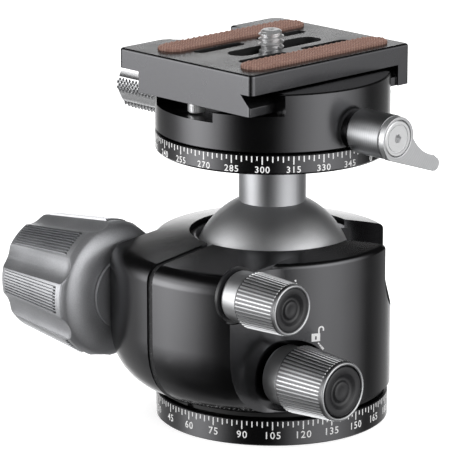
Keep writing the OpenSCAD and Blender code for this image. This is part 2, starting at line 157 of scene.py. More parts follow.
# Copies one piece around the Z axis and joins the copies.
def copyAround(piece, turns):
    copies = []
    for turn in turns:
        other = copyPiece(piece, piece.name)
        other.rotation_euler = (0, 0, turn)
        applyPlace(other)
        copies.append(other)
    bpy.data.objects.remove(piece)
    return joinInto(copies[0], copies[1:])


# Rounds the outer edge of a flat top, picked by its height and its distance from the outline.
def roundRim(piece, rim):
    makeActive(piece)
    bpy.ops.object.mode_set(mode="EDIT")
    bpy.ops.mesh.select_mode(type="EDGE")
    bpy.ops.mesh.select_all(action="DESELECT")
    bpy.ops.mesh.edges_select_sharp(sharpness=math.radians(rim["sharp"]))
    objectMode()
    points = [vertex.co / mm for vertex in piece.data.vertices]
    (lowX, highX), (lowY, highY) = rim["x"], rim["y"]
    near = [p.z > rim["top"] - rim["slack"]
            and min(p.x - lowX, highX - p.x, p.y - lowY, highY - p.y) < rim["reach"] for p in points]
    keep = [edge.select and near[edge.vertices[0]] and near[edge.vertices[1]] for edge in piece.data.edges]
    for vertex in piece.data.vertices:
        vertex.select = False
    for face in piece.data.polygons:
        face.select = False
    for edge, kept in zip(piece.data.edges, keep):
        edge.select = kept
    bpy.ops.object.mode_set(mode="EDIT")
    bpy.ops.mesh.bevel(offset=rim["width"] * mm, segments=rim["steps"], profile=0.5, clamp_overlap=False)
    bpy.ops.mesh.select_mode(type="VERT")
    objectMode()


mergeGap = 0.002  # millimetres, joins the loose triangles of a CAD node
flatAngle = 0.4  # degrees, below it two faces become one
cornerAngle = 30  # degrees, from which an edge is softened


# A copy of a CAD node with its corners softened by a width in millimetres, which stands for that node.
def softenNode(node, name, width, rim=None):
    piece = copyPiece(frame["nodes"][node], name)
    makeActive(piece)
    editMode()
    bpy.ops.mesh.remove_doubles(threshold=mergeGap * mm)
    bpy.ops.mesh.dissolve_limited(angle_limit=math.radians(flatAngle))
    objectMode()
    if piece.data.has_custom_normals:
        bpy.ops.mesh.customdata_custom_splitnormals_clear()
    if rim:
        roundRim(piece, rim)
    addModifier(piece, "BEVEL", width=width * mm, segments=2, limit_method="ANGLE",
                angle_limit=math.radians(cornerAngle), use_clamp_overlap=True)
    smoothByAngle(piece, cornerAngle)
    addModifier(piece, "WEIGHTED_NORMAL", weight=50, keep_sharp=True)  # keeps large flats evenly lit
    return piece


# Puts a piece in its node's place: on the same body. No material keeps the piece's own.
def standFor(piece, material, slot, *nodes):
    if material:
        giveMaterial(piece, material)
    bodies = frame["record"]["behaviour"]["bodies"]
    body = next(name for name, members in bodies.items() if nodes[0] in members)
    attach(piece, body)
    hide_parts(*nodes)


def dressNode(material, *nodes):
    for node in nodes:
        giveMaterial(frame["nodes"][node], material)


def newGroup(name, inputs, outputs):
    group = bpy.data.node_groups.new(name, "ShaderNodeTree")
    for label, default in inputs.items():
        socket = group.interface.new_socket(name=label, in_out="INPUT", socket_type="NodeSocketFloat")
        socket.default_value = default
    for label in outputs:
        group.interface.new_socket(name=label, in_out="OUTPUT", socket_type="NodeSocketFloat")
    return group, group.nodes.new("NodeGroupInput"), group.nodes.new("NodeGroupOutput")


def link(tree, start, end):
    tree.links.new(start, end)


def addMath(tree, operation, first, second=None, third=None):
    node = tree.nodes.new("ShaderNodeMath")
    node.operation = operation
    for slot, value in enumerate((first, second, third)):
        if value is None:
            continue
        if hasattr(value, "links"):
            link(tree, value, node.inputs[slot])
        else:
            node.inputs[slot].default_value = value
    return node.outputs[0]


def mapRange(tree, value, low, high, newLow, newHigh):
    node = tree.nodes.new("ShaderNodeMapRange")
    link(tree, value, node.inputs["Value"])
    for label, number in (("From Min", low), ("From Max", high), ("To Min", newLow), ("To Max", newHigh)):
        node.inputs[label].default_value = number
    return node.outputs["Result"]


def objectNoise(tree, scale, detail=2.0, rough=0.5):
    place = tree.nodes.new("ShaderNodeTexCoord")
    noise = tree.nodes.new("ShaderNodeTexNoise")
    link(tree, place.outputs["Object"], noise.inputs["Vector"])
    if hasattr(scale, "links"):
        link(tree, scale, noise.inputs["Scale"])
    else:
        noise.inputs["Scale"].default_value = scale
    noise.inputs["Detail"].default_value = detail
    noise.inputs["Roughness"].default_value = rough
    return noise.outputs["Fac"]


# Fine pits of blasted metal, with a slow drift of tone and gloss over the piece.
def buildBlastGroup():
    inputs = {"Grain": 5200.0, "Drift": 90.0}
    group, given, result = newGroup("blastedGrain", inputs, ("Height", "Tone", "Gloss"))
    fine = objectNoise(group, given.outputs["Grain"], detail=3.0, rough=0.6)
    slow = objectNoise(group, given.outputs["Drift"])
    fineShare, slowShare = 0.6, 0.4
    link(group, fine, result.inputs["Height"])
    fineTone = addMath(group, "MULTIPLY", fine, fineShare)
    slowTone = addMath(group, "MULTIPLY", slow, slowShare)
    link(group, addMath(group, "ADD", fineTone, slowTone), result.inputs["Tone"])
    link(group, mapRange(group, slow, 0.3, 0.7, 0.0, 1.0), result.inputs["Gloss"])
    return group


# Rings left by a lathe, about an axis along X through the given y and z.
def buildLatheGroup():
    inputs = {"Centre Y": 0.0, "Centre Z": 0.0, "Rings": 9000.0}
    group, given, result = newGroup("latheRings", inputs, ("Height", "Tone"))
    place = group.nodes.new("ShaderNodeTexCoord")
    parts = group.nodes.new("ShaderNodeSeparateXYZ")
    link(group, place.outputs["Object"], parts.inputs[0])
    fromY = addMath(group, "SUBTRACT", parts.outputs["Y"], given.outputs["Centre Y"])
    fromZ = addMath(group, "SUBTRACT", parts.outputs["Z"], given.outputs["Centre Z"])
    squareY = addMath(group, "MULTIPLY", fromY, fromY)
    squareZ = addMath(group, "MULTIPLY", fromZ, fromZ)
    radius = addMath(group, "SQRT", addMath(group, "ADD", squareY, squareZ))
    reach = addMath(group, "ADD", radius, parts.outputs["X"])
    wave = addMath(group, "SINE", addMath(group, "MULTIPLY", reach, given.outputs["Rings"]))
    wear = objectNoise(group, 700.0, detail=3.0)
    height = addMath(group, "MULTIPLY", addMath(group, "ADD", wave, 1.0), wear)
    highest = 1.4
    link(group, height, result.inputs["Height"])
    link(group, mapRange(group, height, 0.0, highest, 0.0, 1.0), result.inputs["Tone"])
    return group


# Small specks, as in a loaded rubber.
def buildSpeckGroup():
    group, given, result = newGroup("specks", {"Scale": 2600.0, "Size": 0.25}, ("Mask", "Height"))
    place = group.nodes.new("ShaderNodeTexCoord")
    cells = group.nodes.new("ShaderNodeTexVoronoi")
    link(group, place.outputs["Object"], cells.inputs["Vector"])
    link(group, given.outputs["Scale"], cells.inputs["Scale"])
    mask = addMath(group, "LESS_THAN", cells.outputs["Distance"], given.outputs["Size"])
    link(group, mask, result.inputs["Mask"])
    link(group, cells.outputs["Distance"], result.inputs["Height"])
    return group


# Rows of small raised dots on a flat pad.
def buildDotGroup():
    group, given, result = newGroup("raisedDots", {"Pitch": 0.0008}, ("Height", "Mask"))
    place = group.nodes.new("ShaderNodeTexCoord")
    parts = group.nodes.new("ShaderNodeSeparateXYZ")
    link(group, place.outputs["Object"], parts.inputs[0])
    turn = addMath(group, "DIVIDE", 2 * math.pi, given.outputs["Pitch"])
    waveX = addMath(group, "SINE", addMath(group, "MULTIPLY", parts.outputs["X"], turn))
    waveY = addMath(group, "SINE", addMath(group, "MULTIPLY", parts.outputs["Y"], turn))
    bumps = mapRange(group, addMath(group, "MULTIPLY", waveX, waveY), -0.1, 1.0, 0.0, 1.0)
    wobble = objectNoise(group, 3500.0, detail=3.0)
    wobbleShare = 0.6
    height = addMath(group, "ADD", bumps, addMath(group, "MULTIPLY", wobble, wobbleShare))
    link(group, height, result.inputs["Height"])
    link(group, bumps, result.inputs["Mask"])
    return group


blastGroup = buildBlastGroup()
latheGroup = buildLatheGroup()
speckGroup = buildSpeckGroup()
dotGroup = buildDotGroup()
print("shader groups built")


def startMaterial(name, **sockets):
    material = bpy.data.materials.new(name)
    material.use_nodes = True
    tree = material.node_tree
    shader = tree.nodes["Principled BSDF"]
    for label, value in sockets.items():
        shader.inputs[label.replace("_", " ")].default_value = value
    return material, tree, shader


def addGroup(tree, group, **values):
    node = tree.nodes.new("ShaderNodeGroup")
    node.node_tree = group
    for label, value in values.items():
        node.inputs[label.replace("_", " ")].default_value = value
    return node


def mixTones(tree, mask, dark, light, shader):
    ramp = tree.nodes.new("ShaderNodeMix")
    ramp.data_type = "RGBA"
    ramp.inputs["A"].default_value = (*dark, 1)
    ramp.inputs["B"].default_value = (*light, 1)
    link(tree, mask, ramp.inputs["Factor"])
    link(tree, ramp.outputs["Result"], shader.inputs["Base Color"])


def addBump(tree, height, shader, distance):
    bump = tree.nodes.new("ShaderNodeBump")
    bump.inputs["Distance"].default_value = distance * mm
    bump.inputs["Strength"].default_value = 1.0
    link(tree, height, bump.inputs["Height"])
    link(tree, bump.outputs["Normal"], shader.inputs["Normal"])


# A blasted metal or a satin coat, both with fine grain.
def blastedMaterial(name, look):
    material, tree, shader = startMaterial(name, Metallic=look["metal"])
    grain = addGroup(tree, blastGroup, Grain=look["grain"])
    mixTones(tree, grain.outputs["Tone"], look["dark"], look["light"], shader)
    low, high = look["gloss"]
    link(tree, mapRange(tree, grain.outputs["Gloss"], 0, 1, low, high), shader.inputs["Roughness"])
    addBump(tree, grain.outputs["Height"], shader, look["depth"])
    return material


# A metal with lathe rings round an axis along X.
def turnedMaterial(name, look):
    material, tree, shader = startMaterial(name, Metallic=look["metal"])
    y, z = look["centre"]
    rings = addGroup(tree, latheGroup, Centre_Y=y * mm, Centre_Z=z * mm, Rings=look["rings"])
    mixTones(tree, rings.outputs["Tone"], look["dark"], look["light"], shader)
    low, high = look["gloss"]
    link(tree, mapRange(tree, rings.outputs["Tone"], 0, 1, low, high), shader.inputs["Roughness"])
    addBump(tree, rings.outputs["Height"], shader, look["depth"])
    return material


sealLook = {"gloss": 0.6, "scale": 1900.0, "size": 0.22, "depth": 0.05,
            "dark": (0.012, 0.012, 0.013), "light": (0.09, 0.09, 0.095)}
gripLook = {"gloss": 0.55, "pitch": 0.9, "depth": 0.06,
            "dark": (0.2, 0.105, 0.08), "light": (0.36, 0.225, 0.18)}
printLook = {"gloss": 0.5, "grain": 2500.0, "dark": (0.8, 0.8, 0.8), "light": (0.93, 0.93, 0.93)}


def sealMaterial(look):
    material, tree, shader = startMaterial("speckledSeal", Roughness=look["gloss"])
    specks = addGroup(tree, speckGroup, Scale=look["scale"], Size=look["size"])
    mixTones(tree, specks.outputs["Mask"], look["dark"], look["light"], shader)
    addBump(tree, specks.outputs["Height"], shader, look["depth"])
    return material


def gripMaterial(look):
    material, tree, shader = startMaterial("brownGrip", Roughness=look["gloss"])
    dots = addGroup(tree, dotGroup, Pitch=look["pitch"] * mm)
    mixTones(tree, dots.outputs["Mask"], look["dark"], look["light"], shader)
    addBump(tree, dots.outputs["Height"], shader, look["depth"])
    return material


def printMaterial(look):
    material, tree, shader = startMaterial("whitePrint", Roughness=look["gloss"])
    mixTones(tree, objectNoise(tree, look["grain"], detail=3.0), look["dark"], look["light"], shader)
    return material


# Each finish: how metallic, darkest and lightest tone, grain per metre, least and most roughness, and the
# depth of the grain in millimetres.
finishes = {
    "bodyBlack": {"metal": 1.0, "dark": (0.09, 0.09, 0.093), "light": (0.115, 0.115, 0.12),
                  "grain": 6000.0, "gloss": (0.19, 0.25), "depth": 0.003},
    "anodisedBlack": {"metal": 1.0, "dark": (0.09, 0.09, 0.093), "light": (0.12, 0.12, 0.125),
                      "grain": 6000.0, "gloss": (0.2, 0.26), "depth": 0.003},
    "blastedBlack": {"metal": 1.0, "dark": (0.09, 0.09, 0.094), "light": (0.14, 0.14, 0.146),
                     "grain": 5200.0, "gloss": (0.22, 0.3), "depth": 0.008},
    "blackPlastic": {"metal": 0.0, "dark": (0.01, 0.01, 0.011), "light": (0.022, 0.022, 0.024),
                     "grain": 4000.0, "gloss": (0.3, 0.4), "depth": 0.01},
    "ivoryPlastic": {"metal": 0.0, "dark": (0.6, 0.58, 0.52), "light": (0.78, 0.76, 0.7),
                     "grain": 3000.0, "gloss": (0.35, 0.45), "depth": 0.01},
    "titaniumGrey": {"metal": 0.84, "dark": (0.26, 0.265, 0.28), "light": (0.64, 0.645, 0.665),
                     "grain": 3600.0, "gloss": (0.38, 0.46), "depth": 0.04},
    "ribSilver": {"metal": 1.0, "dark": (0.46, 0.465, 0.48), "light": (0.62, 0.625, 0.64),
                  "grain": 4200.0, "gloss": (0.32, 0.4), "depth": 0.01},
    "knurlSilver": {"metal": 0.6, "dark": (0.66, 0.665, 0.67), "light": (0.84, 0.845, 0.85),
                    "grain": 4200.0, "gloss": (0.32, 0.4), "depth": 0.01},
    # Painted shade: a dark tone for the faces between a small knob's ribs.
    "paintedGrooveShade": {"metal": 1.0, "dark": (0.14, 0.14, 0.145), "light": (0.22, 0.22, 0.225),
                  "grain": 4200.0, "gloss": (0.4, 0.5), "depth": 0.01},
    "gunmetalBall": {"metal": 1.0, "dark": (0.56, 0.565, 0.575), "light": (0.8, 0.805, 0.82),
                     "grain": 4200.0, "gloss": (0.44, 0.5), "depth": 0.03},
    "neckGrey": {"metal": 1.0, "dark": (0.4, 0.405, 0.42), "light": (0.54, 0.545, 0.56),
                 "grain": 5000.0, "gloss": (0.38, 0.44), "depth": 0.012},
    "satinSilver": {"metal": 0.95, "dark": (0.46, 0.465, 0.475), "light": (0.6, 0.605, 0.615),
                    "grain": 5000.0, "gloss": (0.34, 0.42), "depth": 0.01},
    # Painted shade: a near-black finish for faces where shade falls, in the plate's slots and in the gap over
    # the base.
    "paintedShadeBlack": {"metal": 0.0, "dark": (0.004, 0.004, 0.004), "light": (0.009, 0.009, 0.01),
                  "grain": 4000.0, "gloss": (0.5, 0.6), "depth": 0.01},
}
# Turned ones have lathe rings in place of grain, round the given y and z.
turnedFinishes = {
    "machinedSteel": {"metal": 1.0, "dark": (0.3, 0.3, 0.31), "light": (0.46, 0.46, 0.47),
                      "centre": (0, 77.3), "rings": 14000.0, "gloss": (0.3, 0.4), "depth": 0.003},
    "brightChrome": {"metal": 0.95, "dark": (0.68, 0.685, 0.695), "light": (0.8, 0.805, 0.815),
                     "centre": (0, 77.3), "rings": 12000.0, "gloss": (0.26, 0.34), "depth": 0.001},
    "machinedBrass": {"metal": 1.0, "dark": (0.5, 0.35, 0.15), "light": (0.68, 0.5, 0.25),
                      "centre": (-17.7, 18.1), "rings": 9000.0, "gloss": (0.25, 0.35), "depth": 0.006},
    "armSilver": {"metal": 0.9, "dark": (0.6, 0.605, 0.615), "light": (0.68, 0.685, 0.695),
                  "centre": (-0.5, 77.8), "rings": 9000.0, "gloss": (0.36, 0.44), "depth": 0.0004},
    "screwSilver": {"metal": 0.85, "dark": (0.8, 0.805, 0.81), "light": (0.88, 0.885, 0.89),
                    "centre": (-0.5, 77.8), "rings": 16000.0, "gloss": (0.3, 0.36), "depth": 0.0003},
    "leverSilver": {"metal": 1.0, "dark": (0.36, 0.365, 0.375), "light": (0.44, 0.445, 0.455),
                    "centre": (-0.5, 77.8), "rings": 9000.0, "gloss": (0.36, 0.44), "depth": 0.0006},
}
paint = {name: blastedMaterial(name, look) for name, look in finishes.items()}
paint.update({name: turnedMaterial(name, look) for name, look in turnedFinishes.items()})
paint["speckledSeal"] = sealMaterial(sealLook)
paint["brownGrip"] = gripMaterial(gripLook)
paint["whitePrint"] = printMaterial(printLook)
print("materials built")


# CAD nodes that keep their own shape, and only get a material.
dressNode(paint["anodisedBlack"], "base_ring", "scale_ring", "housing_floor")
dressNode(paint["machinedSteel"], "thread_insert", "pan_spindle", "pan_drum", "drum_screws", "main_bolt",
          "friction_screw", "pan_screw", "upper_spindle", "spindle_bolt", "retaining_pins", "jaw_guide_pins",
          "clamp_screw", "screw_clip", "liner_ring")
dressNode(paint["blackPlastic"], "lower_washer", "friction_washer", "ball_liner")
dressNode(paint["titaniumGrey"], "main_washer")
dressNode(paint["ivoryPlastic"], "upper_washer", "ball_seat")
dressNode(paint["machinedBrass"], "pan_shoe", "lever_shoe")
dressNode(paint["speckledSeal"], "slit_seal")
dressNode(paint["gunmetalBall"], "ball")
dressNode(paint["neckGrey"], "stem")
print("plain nodes dressed")


# Gives a piece its material, and a second one on the faces that a test picks.
def paintFaces(piece, main, second, test):
    giveMaterial(piece, paint[main])
    piece.data.materials.append(paint[second])
    for face in piece.data.polygons:
        face.material_index = 1 if test(face) else 0


# The body, the clamp, the plate and the lever get softened corners. The faces of the gap over the base get
# painted shade: a near-black finish.
bodySize = {"corner": 0.3, "paintedShadeTop": 8.7}
bodyShell = softenNode("housing", "bodyShell", bodySize["corner"])
paintFaces(bodyShell, "bodyBlack", "paintedShadeBlack", lambda face: face.center.z / mm < bodySize["paintedShadeTop"])
standFor(bodyShell, None, "black_body", "housing")

clampCorner = 0.25
clampBlock = softenNode("clamp_body", "clampBlock", clampCorner)
standFor(clampBlock, paint["anodisedBlack"], "black_anodised", "clamp_body")
movingJaw = softenNode("moving_jaw", "movingJaw", clampCorner)
standFor(movingJaw, paint["anodisedBlack"], "black_anodised", "moving_jaw")

plateSize = {"corner": 0.3,
             "rim": {"top": 93.5, "x": (-26.6, 20), "y": (-27.2, 27.8), "reach": 1.4, "width": 0.65,
                     "steps": 4, "sharp": 50, "slack": 0.02},
             "slots": {"x": (-12.9, 11.0), "y": (-23.0, 24.0), "top": 93.3}}


# Faces inside the plate's slots, below its top: these get painted shade.
def inSlots(face):
    x, y, z = face.center / mm
    slots = plateSize["slots"]
    (lowX, highX), (lowY, highY) = slots["x"], slots["y"]
    return lowX < x < highX and lowY < y < highY and z < slots["top"]


cameraPlate = softenNode("plate", "cameraPlate", plateSize["corner"], rim=plateSize["rim"])
paintFaces(cameraPlate, "blastedBlack", "paintedShadeBlack", inSlots)
standFor(cameraPlate, None, "black_plate", "plate")

stripSize = {"corner": 0.3, "rise": 0.26, "r": 0.62, "tip": 0.14, "sink": 0.02, "stepX": 1.06, "stepY": 0.95,
             "margin": 0.62, "sideMargin": 0.434, "columns": 4}


# A grip strip with rows of small raised dots, every second row shifted by half a step.
def makeGrip(node, name, size):
    strip = softenNode(node, name, size["corner"])
    low, high = (corner / mm for corner in map(Vector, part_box(node)))
    half = (high.x - low.x) / 2
    middle = (low.x + high.x) / 2
    clearSelection()
    bpy.ops.mesh.primitive_cone_add(vertices=4, radius1=size["r"] * mm, radius2=size["tip"] * mm,
                                    depth=size["rise"] * mm)
    dot = bpy.context.object
    dots = []
    rows = int((high.y - low.y - 2 * size["margin"]) / size["stepY"])
    for row in range(rows + 1):
        y = low.y + size["margin"] + row * size["stepY"]
        shift = size["stepX"] / 2 if row % 2 else 0
        for column in range(-size["columns"], size["columns"] + 1):
            x = column * size["stepX"] + shift
            past = max(low.y + half - y, y - high.y + half, 0)  # how far into the strip's round end
            if math.hypot(x, past) > half - size["sideMargin"]:
                continue
            other = copyPiece(dot, "dot")
            other.location = ((middle + x) * mm, y * mm, (high.z + size["rise"] / 2 - size["sink"]) * mm)
            dots.append(other)
    bpy.data.objects.remove(dot)
    joinInto(strip, dots)
    applyPlace(strip)
    return strip


for side in ("left", "right"):
    node = "grip_strip_" + side
    standFor(makeGrip(node, "grip" + side.title(), stripSize), paint["brownGrip"], "brown_grip", node)

leverCorner = {"arm": 0.2, "barrel": 0.15}
leverArm = softenNode("lever_arm", "leverArm", leverCorner["arm"])
standFor(leverArm, paint["armSilver"], "lever_silver", "lever_arm")
leverBarrel = softenNode("lever_barrel", "leverBarrel", leverCorner["barrel"])
standFor(leverBarrel, paint["leverSilver"], "lever_silver", "lever_barrel")

# The shape lists radius and height: up to the head, over its edge and down into the groove round the disc.
leverScrewSize = {"y": -0.5, "z": 77.8, "top": 42.85, "around": 72, "hexR": 1.15, "hexDeep": 1.1,
                  "shape": [(2.5, 23.5), (2.5, 41.3), (4.46, 41.3), (4.46, 42.5), (4.36, 42.73),
                            (4.16, 42.85), (3.57, 42.85), (3.47, 42.57), (3.31, 42.57), (3.21, 42.79),
                            (0.4, 42.79)]}


# The lever's screw: a flat head with a ring round a disc, and a six-sided socket.
def makeLeverScrew(size):
    screw = turnPiece("leverScrew", size["shape"], size["around"])
    clearSelection()
    bpy.ops.mesh.primitive_cylinder_add(vertices=6, radius=size["hexR"] * mm, depth=2 * size["hexDeep"] * mm)
    socket = bpy.context.object
    socket.location = (0, 0, size["top"] * mm)
    applyPlace(socket)
    cutAway(screw, socket)
    smoothByAngle(screw, 30)
    layAlongX(screw, 1, size["y"], size["z"])
    return screw


standFor(makeLeverScrew(leverScrewSize), paint["screwSilver"], "bright_screw", "lever_screw")
print("softened pieces done")


ribCrest = {"width": 0.5, "length": 0.93}  # the crest's share of a rib's foot


# A straight rib on a tapered grip, drawn on the side at +X.
def ribAlong(startR, endR, startZ, endZ, width, height):
    clearSelection()
    bpy.ops.mesh.primitive_cube_add(size=1)
    rib = bpy.context.object
    rib.scale = (height * 2 * mm, width * mm, (endZ - startZ) * mm)
    applyPlace(rib)
    editMode("DESELECT")
    objectMode()
    for face in rib.data.polygons:
        face.select = face.normal.x > 0.9
    bpy.ops.object.mode_set(mode="EDIT")
    crest = (1, ribCrest["width"], ribCrest["length"])
    bpy.ops.transform.resize(value=crest, center_override=(height * mm, 0, 0))
    objectMode()
    rib.rotation_euler = (0, -math.atan((startR - endR) / (endZ - startZ)), 0)
    rib.location = ((startR + endR) / 2 * mm, 0, (startZ + endZ) / 2 * mm)
    applyPlace(rib)
    return rib


# The back is a dome from back to wide, and the far end a shallow dish inside a rounded edge.
lockKnobSize = {"y": -29.5, "z": 32.1, "bore": 3.0, "back": 23.75, "backR": 7.0, "wide": 27.6, "wideR": 17.3,
                "end": 52.9, "endR": 14.6, "domeSteps": 12, "domeStep": 6.3, "edge": 1.2, "dishR": 12.3,
                "dishFloorR": 11.7, "dishHoleR": 2.0, "dishDeep": 0.8, "around": 168, "corner": 0.25,
                "cornerAngle": 24, "lands": 7, "landShare": 0.47, "scoopR": 6.2, "scoopDeep": 1.5,
                "scoopStart": 1.6, "scoopLong": 40, "ribs": 9, "ribH": 0.36, "ribShare": 0.8, "ribSink": 0.05,
                "ribGap": 1.3}


# The large knob: scoops between seven ribbed lands.
def makeLockKnob(size):
    wide, wideR, end, endR = size["wide"], size["wideR"], size["end"], size["endR"]
    outline = [(size["bore"], size["back"])]
    for step in range(size["domeSteps"]):
        turn = math.radians(90 - step * size["domeStep"])
        outline.append((size["backR"] + (wideR - size["backR"]) * math.cos(turn),
                        wide - (wide - size["back"]) * math.sin(turn)))
    outline += [(wideR, wide)]
    outline += roundArc(endR - size["edge"], end - size["edge"], size["edge"], 8, 90, 5)
    floor = end - size["dishDeep"]
    outline += [(size["dishR"], end), (size["dishFloorR"], floor), (size["dishHoleR"], floor)]
    knob = turnPiece("lockKnob", outline, size["around"])
    pitch = 2 * math.pi / size["lands"]
    firstLand = -math.pi / 2
    taper = math.atan((wideR - endR) / (end - wide))

    # one round-ended scoop, copied between the lands and cut out
    clearSelection()
    bpy.ops.mesh.primitive_uv_sphere_add(segments=48, ring_count=24, radius=size["scoopR"] * mm)
    scoop = bpy.context.object
    editMode()
    bpy.ops.mesh.bisect(plane_co=(0, 0, 0), plane_no=(0, 0, 1), clear_outer=True, use_fill=True)
    bpy.ops.mesh.extrude_region_move(TRANSFORM_OT_translate={"value": (0, 0, size["scoopLong"] * mm)})
    faceOutward(scoop)
    scoop.rotation_euler = (0, -taper, 0)
    scoop.location = ((wideR - size["scoopDeep"] + size["scoopR"]) * mm, 0, (wide + size["scoopStart"]) * mm)
    applyPlace(scoop)
    cutAway(knob, copyAround(scoop, [firstLand + pitch * (i + 0.5) for i in range(size["lands"])]))
    addModifier(knob, "BEVEL", width=size["corner"] * mm, segments=2, limit_method="ANGLE",
                angle_limit=math.radians(size["cornerAngle"]), use_clamp_overlap=True)
    smoothByAngle(knob, size["cornerAngle"])

    # one rib, copied over each land
    shares = [(step + 0.5) / size["ribs"] - 0.5 for step in range(size["ribs"])]
    turns = [firstLand + pitch * (land + share * size["landShare"]) for land in range(size["lands"])
             for share in shares]
    ribPitch = pitch * size["landShare"] / size["ribs"] * wideR
    rib = ribAlong(wideR - size["ribSink"], endR, wide + size["ribGap"], end - size["ribGap"],
                   ribPitch * size["ribShare"], size["ribH"])
    ribs = copyAround(rib, turns)
    smoothByAngle(ribs, 20)
    giveMaterial(knob, paint["titaniumGrey"])
    giveMaterial(ribs, paint["ribSilver"])
    knob = joinInto(knob, [ribs])
    layAlongX(knob, -1, size["y"], size["z"])
    return knob


standFor(makeLockKnob(lockKnobSize), None, "titanium_grey", "main_knob")
print("large knob done")


smallKnobs = {
    "frictionGrip": {"node": "friction_knob", "y": -32.8, "z": 41, "root": 21.3, "hubR": 6.3, "hubH": 5.1,
                     "gripR": 6.9, "endR": 6.2, "length": 18.4, "capR": 5.4, "ribs": 44},
    "panGrip": {"node": "pan_knob", "y": -17.7, "z": 18.1, "root": 21.3, "hubR": 7.5, "hubH": 5.3,
                "gripR": 8.4, "endR": 7.3, "length": 20.7, "capR": 6.2, "ribs": 50},
}
# What both small knobs share. The band of painted shade between the ribs keeps clear of both ends.
smallKnobShape = {"bore": 2.6, "hubEdge": 1.2, "gripSink": 0.25, "gripStep": 0.5, "endEdge": 0.42,
                  "capDeep": 1.6, "around": 120, "ribShare": 0.74, "ribH": 0.28, "endSink": 0.1,
                  "ribStop": 0.75, "shadeInset": 0.6}


# A small knob: a smooth hub and a ribbed grip, with painted shade between the ribs.
def makeSmallKnob(name, size, shape):
    start, top, hub = size["root"], size["root"] + size["length"], size["hubR"]
    gripStart, gripR = start + size["hubH"], size["gripR"] - shape["gripSink"]
    hubEdge, endEdge, step = shape["hubEdge"], shape["endEdge"], shape["gripStep"]
    outline = [(shape["bore"], start), (hub - hubEdge, start)]
    outline += roundArc(hub - hubEdge, start + hubEdge, hubEdge, -80, 0, 6)
    outline += [(hub, gripStart), (gripR - step, gripStart), (gripR, gripStart + step)]
    outline += roundArc(size["endR"] - endEdge, top - endEdge, endEdge, 10, 160, 6)
    outline += [(size["capR"], top - shape["capDeep"])]
    knob = turnPiece(name, outline, shape["around"])
    smoothByAngle(knob, 30)
    # The faces between the ribs, clear of both ends, get painted shade.
    low, high = gripStart + shape["shadeInset"], top - shape["shadeInset"]
    paintFaces(knob, "satinSilver", "paintedGrooveShade",
               lambda face: low < face.center.z / mm < high and abs(face.normal.z) < 0.3)
    ribW = 2 * math.pi * size["endR"] / size["ribs"] * shape["ribShare"]
    rib = ribAlong(gripR, size["endR"] - shape["endSink"], gripStart + step, top - shape["ribStop"], ribW,
                   shape["ribH"])
    ribs = copyAround(rib, evenTurns(size["ribs"]))
    smoothByAngle(ribs, 20)
    giveMaterial(ribs, paint["satinSilver"])
    knob = joinInto(knob, [ribs])
    layAlongX(knob, 1, size["y"], size["z"])
    return knob


# Each point of the shape: share of the cap's radius, millimetres less than that, millimetres below the end.
capShape = {"around": 72,
            "shape": [(0.5, 0, 1.6), (1, 0, 1.6), (1, 0, 0.35), (1, 0.12, 0.15), (1, 0.4, 0.1),
                      (0.74, 0, 0.1), (0.7, 0, 0.2), (0.62, 0, 0.75), (0.55, 0, 1.0), (0.47, 0, 1.05),
                      (0.42, 0, 0.9), (0.4, 0, 0.5), (0.35, 0, 0.35), (0.2, 0, 0.5), (0.02, 0, 0.55)]}


# A black cap with a dish and a raised button in it.
def makeSmallCap(name, size, shape):
    r, top = size["capR"], size["root"] + size["length"]
    outline = [(r * share - less, top - below) for share, less, below in shape["shape"]]
    cap = turnPiece(name, outline, shape["around"])
    smoothByAngle(cap, 50)
    layAlongX(cap, 1, size["y"], size["z"])
    return cap


for name, size in smallKnobs.items():
    standFor(makeSmallKnob(name, size, smallKnobShape), None, "satin_silver", size["node"])
    cap = makeSmallCap(name + "Cap", size, capShape)
    standFor(cap, paint["blackPlastic"], "black_cap", size["node"].replace("knob", "cap"))
print("small knobs done")


clampKnobSize = {"y": 0, "z": 77.3, "end": 50, "r": 6.8, "bands": 6, "around": 96,
                 "shape": [(2.6, 30.2), (4.4, 30.2), (4.4, 32.4), (6.0, 32.4), (6.6, 33.2), (6.6, 49.2),
                           (5.9, 50), (1.0, 50)],
                 "groove": {"r": 3.2, "long": 24, "out": 2.6, "z": 44},
                 "diamond": {"r": 0.74, "tip": 0.12, "high": 0.5, "sink": 0.06, "start": 34.0, "first": 0.25,
                             "stop": 0.4, "rows": 13, "columns": 5, "spread": 31}}


